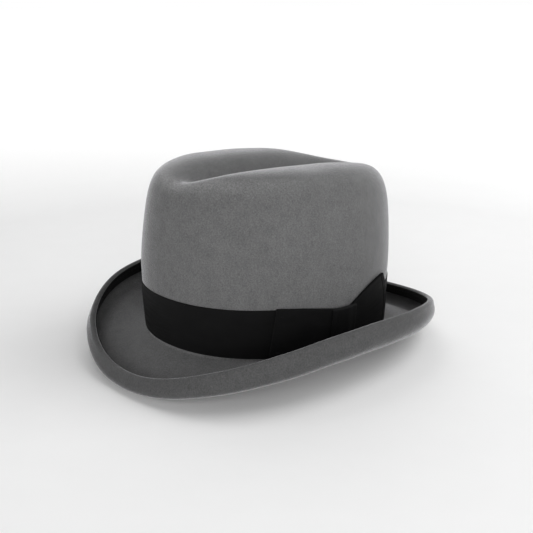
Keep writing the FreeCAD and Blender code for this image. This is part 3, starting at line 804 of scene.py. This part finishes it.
def brim_binding(material):
    """Grosgrain folded over the felt's raw edge: it faces the crown, and turns up behind the hem."""
    per_rib = 2
    theta = ring_angles(int(BINDING_ROUND / RIB) * per_rib)
    stretches = brim_section(theta, FELT_ROWS)
    skipped = min(round(BINDING_START * FELT_ROWS["fold"]), FELT_ROWS["fold"] - 1)
    hem = brim_points(theta, *stretches["hem"])
    fold = brim_points(theta, *(part[skipped:] for part in stretches["fold"]))
    facing = np.concatenate([fold, hem])

    def leg(path, reach, lift):
        path = np.concatenate([path, path[-1:] + unit(path[-1:] - path[-2:-1]) * reach])
        return path + grid_normals(path, True) * lift

    def folded(reach):
        """Round the raw edge, at a reach from it."""
        lift = FELT / 2 + reach
        return np.concatenate([leg(facing, reach, -lift), leg(hem, reach, lift)[::-1]])

    outside, inside = folded(GAP + BINDING), folded(GAP)
    along = np.arange(len(theta) + 1) * RIB / per_rib
    wave = rib_wave(along[:-1])[None, :, None]
    outside = outside + unit(inside - outside) * RIB_DEPTH * (1 - wave)
    steps = np.linalg.norm(np.diff(outside[:, 0], axis=0), axis=1)
    across = np.concatenate([[0.0], np.cumsum(steps)])
    uv = stacked(along, across[:, None])
    piece = shell("binding_ribbon", hand_shaped(inside), hand_shaped(outside), ring=True, uv=uv)
    return finish_piece(piece, material, "grosgrain", "brim_binding"), float(across[-1])


# ---- bow ----
def bow_place(root, end, along, share, ease=0.0, belly=0.0):
    """Distance round the head and height, at shares from root to end and from upper to lower edge."""
    (root_low, bottom), (root_high, top) = root
    (end_low, end_bottom), (end_high, end_top) = end
    up = 1 - share
    first = root_low + (root_high - root_low) * up
    last = end_low + (end_high - end_low) * up + belly * 4 * up * (1 - up)
    eased = along + ease * along * (1 - along)
    bottom = bottom + (end_bottom - bottom) * along
    top = top + (end_top - top) * eased
    return first + (last - first) * along, bottom + (top - bottom) * up


def pleats(along, share, depth, fade):
    """Folds that run out from the gathered middle of the bow and die away."""
    return depth * np.cos(2 * math.pi * PLEATS * share + 0.9) * np.exp(-(along / fade) ** 1.5)


def bow_front_loop(material):
    """Ribbon folded double: out to the rounded end, and back underneath."""
    reach = LOOP_ROOT[0][0] - LOOP_END[0][0]
    turn = math.pi * LOOP_BEND
    length = 2 * reach + turn

    def surface(along, share):
        angle = np.clip((along - reach) / LOOP_BEND, 0.0, math.pi)
        out = np.clip(np.minimum(along, length - along) / reach, 0.0, 1.0)
        distance, height = bow_place(LOOP_ROOT, LOOP_END, out, share, LOOP_EASE)
        distance = distance - LOOP_BEND * np.sin(angle) + LOOP_BEND
        puff = 2 * LOOP_BEND + LOOP_PUFF * np.sin(math.pi * np.clip(out * 1.05, 0, 1)) ** 0.8
        top = np.cos(angle) * 0.5 + 0.5
        crimp = pleats(out, share, LOOP_PLEAT, 0.3) * (0.3 + top)
        lift = BOW_LIFT + RIBBON / 2 + top * puff + crimp
        return on_wall(angle_round(distance), height, lift)

    piece = ribbon("loop_ribbon", surface, length, LOOP_WIDTH, middle_rows=18)
    return finish_piece(piece, material, "grosgrain", "bow_front_loop"), length


def bow_back_fan(material):
    """Two layers opened out into a fan; the front one is hemmed at its free edge."""
    reach = FAN_END[0][0] - FAN_ROOT[0][0]
    turn = math.pi * FAN_BEND
    hemmed = reach - 1.5 * MM
    length = hemmed + turn + FAN_HEM

    def dent(out, share):
        """The front layer sinks where its pleats are caught under the keeper."""
        return FAN_DENT * np.exp(-((out - 0.2) / 0.12) ** 2 - ((share - 0.3) / 0.2) ** 2)

    def hem_line(along):
        """The turned-in hem shows through as a narrow groove along its edge."""
        return FAN_HEM_GROOVE * np.exp(-((along - hemmed + FAN_HEM) / (0.55 * MM)) ** 2)

    def front(along, share):
        angle = np.clip((along - hemmed) / FAN_BEND, 0.0, math.pi)
        back = np.maximum(0.0, along - hemmed - turn)
        out = (np.minimum(along, hemmed) - back) / reach
        distance, height = bow_place(FAN_ROOT, FAN_END, out, share, FAN_EASE, FAN_BOW)
        fold = pleats(out, share, FAN_PLEATS[0], 0.42) - dent(out, share) - hem_line(along)
        over = np.where(along > hemmed, 0.0, 0.1 * MM)
        lift = BOW_LIFT + FAN_FRONT_LIFT + FAN_STAND_OFF * out ** 2 + fold + over
        sunk = FAN_BEND * (1 - np.cos(angle))
        return on_wall(angle_round(distance + FAN_BEND * np.sin(angle)), height, lift - sunk)

    def behind(along, share):
        out = along / reach
        distance, height = bow_place(FAN_ROOT, FAN_END, out, share, FAN_EASE, FAN_BOW)
        fold = pleats(out, share, FAN_PLEATS[1], 0.42)
        lift = BOW_LIFT + RIBBON / 2 + 0.6 * FAN_STAND_OFF * out ** 2 + fold
        return on_wall(angle_round(distance), height - FAN_STEP, lift)

    parts = [
        ribbon("fan_front", front, length, FAN_WIDTH, middle_rows=22),
        ribbon("fan_behind", behind, reach, FAN_WIDTH, middle_rows=18),
    ]
    piece = joined("fan_ribbon", parts)
    return finish_piece(piece, material, "grosgrain", "bow_back_fan"), length + reach


def bow_keeper(material):
    """A ribbon wrapped over the middle of the bow, turned in over its upper and lower edges."""
    (first, low), (last, high) = KEEPER
    turn = math.pi / 2 * KEEPER_BEND
    length = high - low + 2 * turn - 2 * KEEPER_BEND

    def surface(along, share):
        lower = np.clip((turn - along) / KEEPER_BEND, 0.0, math.pi / 2)
        upper = np.clip((along - (length - turn)) / KEEPER_BEND, 0.0, math.pi / 2)
        straight = np.clip(along - turn, 0.0, length - 2 * turn)
        height = low + straight + KEEPER_BEND * (1 - np.sin(lower) + np.sin(upper))
        sunk = KEEPER_BEND * (2 - np.cos(lower) - np.cos(upper))
        crowned = KEEPER_CROWN * np.sin(math.pi * share)
        fold = KEEPER_FOLD * np.cos(5 * math.pi * share + 0.4)
        lift = BOW_LIFT + LOOP_THICKNESS + GAP + RIBBON / 2 + crowned + fold - sunk
        return on_wall(angle_round(last + (first - last) * share), height, lift)

    piece = ribbon("keeper_ribbon", surface, length, last - first, middle_rows=26)
    return finish_piece(piece, material, "grosgrain", "bow_keeper"), length


# ---- thread ----
def stitches(name, starts, ends, normals, rings=9, facets=8):
    """Two-ply stitches, each rising from the cloth, running along it and going down again."""
    share = np.linspace(0.0, 1.0, rings)[:, None]
    angle = ring_angles(facets)
    bulge = np.sin(math.pi * share)
    arch = THREAD * 1.9 * (bulge ** 0.45 - 1)
    thick = THREAD * (1 + 0.16 * np.cos(2 * (angle + share * 7.0))) * (0.55 + 0.45 * bulge ** 0.3)
    caps = [list(range(facets)), list(range((rings - 1) * facets, rings * facets))[::-1]]
    shape = tube_quads(rings, facets).tolist() + caps
    points, faces = [], []
    for start, end, normal in zip(starts, ends, unit(normals)):
        side = np.cross(normal, unit(end - start))
        centre = start + (end - start) * share + normal * arch
        ring = side * np.cos(angle)[:, None] + normal * np.sin(angle)[:, None]
        base = len(points) * rings * facets
        points.append((centre[:, None, :] + ring[None] * thick[..., None]).reshape(-1, 3))
        faces.extend([base + corner for corner in face] for face in shape)
    return add_object(name, np.concatenate(points), faces)


def binding_stitches(material):
    theta = ring_angles(BINDING_STITCHES)
    half = STITCH_SHARE * math.pi / BINDING_STITCHES
    lift = FELT / 2 + GAP + BINDING + THREAD
    ends = []
    for angle in (theta - half, theta + half):
        out, up = brim_section(angle, {**FELT_ROWS, "hem": 5})["hem"]
        run, climb = out[1] - out[0], up[1] - up[0]
        size = np.hypot(run, climb)
        ends.append(brim_points(angle, out[0] + climb / size * lift, up[0] - run / size * lift))
    middle = (ends[0] + ends[1]) / 2
    inward = (np.array([0.0, OVAL_CENTRE_Y, 0.0]) - middle) * LEVEL
    made = stitches("binding_thread", hand_shaped(ends[0]), hand_shaped(ends[1]), inward)
    return finish_piece(made, material, "thread", "brim_binding_stitches")


def wall_stitches(name, places, lift, half_angle=0.008):
    theta, height = np.array(places).T
    starts, ends = on_wall(theta - half_angle, height, lift), on_wall(theta + half_angle, height, lift)
    return stitches(name, starts, ends, wall_normals(theta, height))


def band_stitches(material):
    heights = (BAND_LOW + 1.5 * MM, BAND_LOW + BAND_WIDTH - 1.5 * MM)
    places = [(math.radians(50 + 26 * k), height) for k in range(BAND_TACKS) for height in heights]
    made = wall_stitches("band_thread", places, BAND_LIFT + RIBBON + THREAD)
    return finish_piece(made, material, "thread", "hat_band_stitches")


def bow_stitches(material):
    places = [*LOOP_TACKS, *((distance, KEEPER[0][1] - 0.75 * MM) for distance in KEEPER_TACKS)]
    places = [(float(angle_round(distance)), height) for distance, height in places]
    made = wall_stitches("bow_thread", places, BOW_LIFT + LOOP_THICKNESS + THREAD)
    return finish_piece(made, material, "thread", "bow_stitches")


def inside_stitches(name, theta, half, low, high, lift):
    starts, ends = in_wall(theta - half, low, lift), in_wall(theta + half, high, lift)
    return stitches(name, starts, ends, -level_out(theta))


# ---- sweatband ----
def sweatband_lift(height):
    share = (height - LEATHER_LOW) / SWEATBAND_HEIGHT
    return LEATHER_LIFT - LEATHER_STAND_OFF - LEATHER_LEAN * share


def sweatband(material):
    """Leather with a scored line below its upper edge, easing in and out as leather does."""
    slit = LEATHER_SLIT / HALF_WIDTH
    theta = np.linspace(math.pi / 2 + slit, math.pi / 2 + 2 * math.pi - slit, 540)[None, :]
    edge = np.array(mm(0.0, 0.15, 0.4))
    below_top = np.array(mm(0.0, 0.15, 0.4, 0.9, 1.6, 1.9, 2.2, 2.5, 2.8))
    body = np.linspace(SWEATBAND_HEIGHT - 3.4 * MM, 1.0 * MM, 34)
    up = np.concatenate([SWEATBAND_HEIGHT - below_top, body, edge[::-1]])[:, None]
    height = LEATHER_LOW + up
    ease = waves(in_wall(theta, height, 0.0), 30 * MM, 90 * MM, 7, 5)
    sway = 0.28 * MM * ease * smooth(up, 6 * MM, SWEATBAND_HEIGHT)
    scored = SCORE_DEPTH * np.exp(-((up - SWEATBAND_HEIGHT + SCORE_DOWN) / (0.35 * MM)) ** 2)
    rounded = LEATHER / 2 * (1 - edge_share(up, SWEATBAND_HEIGHT, LEATHER))
    wavy = height + 0.25 * MM * np.sin(9 * theta) * smooth(up, 40 * MM, 50 * MM)
    lift = sweatband_lift(height) + sway
    outer = in_wall(theta, wavy, lift - rounded)
    inner = in_wall(theta, wavy, lift - LEATHER + rounded + scored)
    piece = shell("leather_strip", outer, inner, uv=stacked(theta * HALF_WIDTH, height))
    return finish_piece(piece, material, "leather", "sweatband")


def sweatband_stitches(material):
    height = LEATHER_LOW + SWEATBAND_STITCH_UP
    half = STITCH_SHARE * math.pi / SWEATBAND_STITCHES
    theta = ring_angles(SWEATBAND_STITCHES) + half
    lift = sweatband_lift(height) - LEATHER - THREAD
    made = inside_stitches("leather_thread", theta, half, height, height, lift)
    return finish_piece(made, material, "seam_thread", "sweatband_stitches")


def sweatband_seam_stitches(material):
    low = LEATHER_LOW + np.arange(SEAM_LOW, SWEATBAND_HEIGHT - SEAM_PITCH, SEAM_PITCH)
    theta = np.full(len(low), math.pi / 2)
    lift = sweatband_lift(low) - LEATHER - THREAD
    half, high = SEAM_HALF / HALF_WIDTH, low + 0.6 * SEAM_PITCH
    made = inside_stitches("seam_zigzag", theta, half, low, high, lift)
    return finish_piece(made, material, "seam_thread", "sweatband_seam_stitches")


def sweatband_bow(material):
    """A small flat ribbon bow at the back seam: two loops, two tails and a knot."""
    base = LEATHER_LOW + SMALL_BOW_UP
    level = sweatband_lift(base) - LEATHER - 2 * THREAD - 0.45 * MM

    def at(distance, height, lift):
        return in_wall(math.pi / 2 + distance / HALF_WIDTH, base + height, level + lift)

    def loop(side):
        reach, bend = 10.5 * MM, 0.7 * MM
        length = 2 * reach + math.pi * bend

        def surface(along, share):
            angle = np.clip((along - reach) / bend, 0.0, math.pi)
            out = np.minimum(reach, np.minimum(along, length - along)) + bend * np.sin(angle)
            opened = np.sin(math.pi * np.clip(out / reach, 0, 1) ** 0.8)
            lift = -(0.5 + 0.5 * np.cos(angle)) * (2 * bend + 0.3 * MM * opened)
            flare = 4.2 * MM + 2.4 * MM * smooth(out, 0.0, reach)
            return at(side * (1.2 * MM + out), (0.5 - share) * flare + 0.12 * out, lift)

        return ribbon("loop", surface, length, SMALL_BOW_WIDTH, 5, **SMALL_BOW_RIBBON)

    def tail(side):
        reach = 8.5 * MM

        def surface(along, share):
            out = along - 1.5 * MM * (1 - np.abs(2 * share - 1)) * along / reach
            height = (0.5 - share) * 4.8 * MM - 1.0 * MM - 0.75 * out
            lift = 0.1 * MM - 0.35 * MM * np.sin(out / reach * 5)
            return at(side * (1.0 * MM + 0.8 * out), height, lift)

        return ribbon("tail", surface, reach, SMALL_BOW_WIDTH, 7, **SMALL_BOW_RIBBON)

    def knot():
        reach = 5.4 * MM

        def surface(along, share):
            up = along / reach * 2 - 1
            swell = np.sqrt(np.clip(1 - up ** 2, 0.0, 1.0)) ** 0.7
            lift = -2.3 * MM * swell - 0.25 * MM * np.sin(math.pi * share)
            return at((share - 0.5) * SMALL_BOW_KNOT, up * 2.9 * MM, lift)

        return ribbon("knot", surface, reach, SMALL_BOW_KNOT, 6, **SMALL_BOW_RIBBON)

    piece = joined("small_bow", [loop(1), loop(-1), tail(1), tail(-1), knot()])
    return finish_piece(piece, material, "grosgrain", "sweatband_bow")


# ---- lining ----
def lining_lift(height):
    leaves = SWEATBAND_HEIGHT + LINING_EASE
    share = np.clip((height - leaves) / (LINING_HIGH - leaves), 0.0, 1.0)
    return INNER - GAP - LINING_TIP_DROP * share ** 1.5


def gathers(theta, count, seed):
    """Uneven little folds round the head, 0 to 1."""
    draw = np.random.default_rng(seed)
    drift = sum(draw.uniform(0.2, 0.9) * np.sin(k * theta + draw.uniform(0, 6.3)) for k in range(2, 9))
    depth = 0.6 + 0.4 * np.sin(7 * theta + 2 * drift)
    return depth * np.abs(np.sin(count * theta / 2 + drift)) ** 0.7


def lining_side(material):
    """Satin gathered into the seam at its top, with soft upright folds."""
    theta = ring_angles(900)[None, :]
    height = np.linspace(LINING_HIGH, LINING_LOW, 46)[:, None]
    up = height - LINING_LOW
    fold = LINING_FOLD * gathers(theta, LINING_GATHERS, LINING_SEED)
    fold = fold * smooth(up, 34 * MM, LINING_HIGH - LINING_LOW) ** 1.3
    crease = LINING_CREASE * gathers(theta, 23, 12) * smooth(up, 8 * MM, 50 * MM)
    lift = lining_lift(height) - fold - crease
    outer, inner = in_wall(theta, height, lift), in_wall(theta, height, lift - LINING)
    uv = stacked(np.linspace(0, HEAD_ROUND, theta.size + 1), height)
    piece = shell("satin_side", outer, inner, ring=True, uv=uv)
    return finish_piece(piece, material, "satin", "lining_side")


def lining_tip(material):
    """The oval panel at the top of the lining, a little domed and puckered at its seam."""
    theta = ring_angles(360)
    rim = in_wall(theta, LINING_HIGH, INNER - GAP - LINING_TIP_DROP - 2 * PIPING_RADIUS)
    middle = np.array([0.0, OVAL_CENTRE_Y + CROWN_SHIFT * LINING_HIGH / CROWN_HEIGHT, 0.0])
    share = np.linspace(0.0, 1.0, 60)[:, None]
    flat = middle + (rim - middle) * share[..., None]
    dome = 1 - share ** 2
    rise = (BREAK_HEIGHT + LINING_HIGH + LINING_DOME - rim[:, 2]) * dome
    pucker = 0.5 * MM * gathers(theta, LINING_GATHERS, LINING_SEED) * share ** 9
    wander = TIP_WANDER * waves(flat * LEVEL, 35 * MM, 90 * MM, 6, 21) * dome
    flat[..., 2] = rim[:, 2] + rise - pucker + wander
    flat[0] = flat[0].mean(0)
    uv = np.concatenate([flat, flat[:, :1]], 1)[..., :2]
    piece = shell("satin_tip", flat, flat - np.array([0, 0, LINING]), ring=True, uv=uv, pole=True)
    return finish_piece(piece, material, "satin", "lining_tip")


def lining_piping(material):
    """The satin-covered cord in the seam between the lining's side and its tip."""
    theta = ring_angles(720)
    lift = INNER - GAP - LINING_TIP_DROP - PIPING_RADIUS - LINING / 2
    centres = in_wall(theta, LINING_HIGH, lift)
    centres[:, 2] += PIPING_RADIUS + GAP
    angle = ring_angles(PIPING_SIDES)[:, None]
    radius = (PIPING_RADIUS - GAP) * (1 + 0.05 * np.cos(3 * angle + 180 * theta))
    rings = centres + level_out(theta) * (radius * np.cos(angle))[..., None]
    rings[..., 2] += radius * np.sin(angle)
    row, column = quad_places(PIPING_SIDES + 1, len(theta) + 1)
    faces = row % PIPING_SIDES * len(theta) + column % len(theta)
    uv = stacked(column * HEAD_ROUND / len(theta), row * PIPING_RADIUS / 2)
    piece = add_object("satin_piping", rings, faces[:, ::-1], uv[:, ::-1])
    return finish_piece(piece, material, "satin", "lining_piping")


def lining_stitches(material):
    height = LINING_LOW + LINING_STITCH_UP
    half = BASTING_SHARE * math.pi / LINING_STITCHES
    lift = INNER - GAP - LINING - THREAD
    theta = ring_angles(LINING_STITCHES)
    made = inside_stitches("basting_thread", theta, half, height, height, lift)
    return finish_piece(made, material, "thread", "lining_stitches")


# ---- studio ----
def heading(azimuth, elevation):
    """The way to a place at an azimuth from the front and an elevation, in degrees."""
    turn, rise = math.radians(azimuth), math.radians(elevation)
    return Vector((math.sin(turn) * math.cos(rise), -math.cos(turn) * math.cos(rise), math.sin(rise)))


def add_camera():
    data = bpy.data.cameras.new("camera")
    data.sensor_width = 36.0
    data.lens = CAMERA_LENS
    camera = bpy.data.objects.new("camera", data)
    bpy.context.scene.collection.objects.link(camera)
    turn, roll = math.radians(CAMERA_AZIMUTH), math.radians(CAMERA_ROLL)
    back = heading(CAMERA_AZIMUTH, CAMERA_ELEVATION)
    right = Vector((math.cos(turn), math.sin(turn), 0.0))
    up = back.cross(right)
    tilted_right = right * math.cos(roll) + up * math.sin(roll)
    tilted_up = up * math.cos(roll) - right * math.sin(roll)
    axes = Matrix((tilted_right, tilted_up, back)).transposed()
    camera.matrix_world = Matrix.Translation(Vector(CAMERA_AIM) + back * CAMERA_DISTANCE) @ axes.to_4x4()
    bpy.context.scene.camera = camera


def floor_material():
    """White sweep, lit through far off; it is clear from below, and to the light from below."""
    material, tree, shader = new_material("floor")
    grain = noise(tree, place(tree), 30 * MM)
    colour = tint(tree, grain, (0.89, 0.89, 0.89), (0.91, 0.91, 0.91))
    dress(tree, shader, Base_Color=colour, Roughness=0.9, Specular_IOR_Level=0.1)
    glow = spread(tree, length_of(tree, place(tree)), 0.0, 0.75, 0.5, 2.0)
    dress(tree, shader, Emission_Color=WHITE, Emission_Strength=glow)
    below = node(tree, "ShaderNodeNewGeometry").outputs["Backfacing"]
    seeking = node(tree, "ShaderNodeLightPath").outputs["Is Shadow Ray"]
    clear = node(tree, "ShaderNodeBsdfTransparent").outputs[0]
    sides = {0: calc(tree, "MAXIMUM", below, seeking), 1: shader.outputs[0], 2: clear}
    both = node(tree, "ShaderNodeMixShader", sides).outputs[0]
    fill(tree, tree.nodes["Material Output"].inputs["Surface"], both)
    return material


def add_stage(name, points, faces, material):
    made = add_object(name, points, faces)
    made.data.materials.append(material)


def add_sweep():
    """The floor, and the backdrop that stands round it far off."""
    theta = ring_angles(STAGE_SIDES)
    foot = stacked(FLOOR_REACH * np.cos(theta), FLOOR_REACH * np.sin(theta), FLOOR_LEVEL)
    head = foot + np.array([0.0, 0.0, BACKDROP_HEIGHT])
    add_stage("floor", foot, [list(range(STAGE_SIDES))], floor_material())
    add_stage("backdrop", np.stack([foot, head]), tube_quads(2, STAGE_SIDES), backdrop_material())


def backdrop_material():
    """White cloth lit evenly from behind."""
    material, tree, shader = new_material("backdrop")
    glow = spread(tree, noise(tree, place(tree), 3.0), 0.98, 1.02)
    dress(tree, shader, Base_Color=BLACK, Specular_IOR_Level=0.0)
    dress(tree, shader, Emission_Color=WHITE, Emission_Strength=glow)
    return material


def add_lights():
    world = bpy.data.worlds.new("studio")
    world.use_nodes = True
    background = world.node_tree.nodes["Background"]
    background.inputs["Color"].default_value = WHITE
    background.inputs["Strength"].default_value = WORLD_LIGHT
    bpy.context.scene.world = world
    for name, azimuth, elevation, power in SOFTBOXES:
        light = bpy.data.lights.new(name, "AREA")
        light.size = SOFTBOX_SIZE
        light.energy = power
        lamp = bpy.data.objects.new(name, light)
        back = heading(azimuth, elevation)
        lamp.location = Vector(CAMERA_AIM) + back * SOFTBOX_DISTANCE
        lamp.rotation_mode = "QUATERNION"
        lamp.rotation_quaternion = (-back).to_track_quat("-Z", "Y")
        bpy.context.scene.collection.objects.link(lamp)


# ---- build ----
def build():
    add_camera()
    add_sweep()
    add_lights()
    bpy.context.scene.view_settings.view_transform = "Standard"

    grosgrain = ribbon_material()
    thread = thread_material("thread", (0.002, 0.002, 0.0022), (0.007, 0.007, 0.0075))
    seam_thread = thread_material("seam_thread", (0.22, 0.12, 0.055), (0.42, 0.26, 0.14))
    satin = satin_material()

    felt = felt_body(felt_material()).name
    band, band_length = hat_band(grosgrain)
    binding, binding_width = brim_binding(grosgrain)
    loop, loop_length = bow_front_loop(grosgrain)
    fan, fan_length = bow_back_fan(grosgrain)
    keeper, keeper_length = bow_keeper(grosgrain)
    leather = sweatband(leather_material())
    side = lining_side(satin)
    tip = lining_tip(satin)
    piping = lining_piping(satin)
    inside_bow = sweatband_bow(grosgrain)

    edge_thread = binding_stitches(thread)
    band_thread = band_stitches(thread)
    bow_thread = bow_stitches(thread)
    row_thread = sweatband_stitches(seam_thread)
    seam_stitch = sweatband_seam_stitches(seam_thread)
    basting = lining_stitches(thread)

    for name, material in (("sweatband_reed", reed_material()), ("reed_tape", tape_material())):
        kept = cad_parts[name]
        kept.data.materials.clear()
        kept.data.materials.append(material)


build()
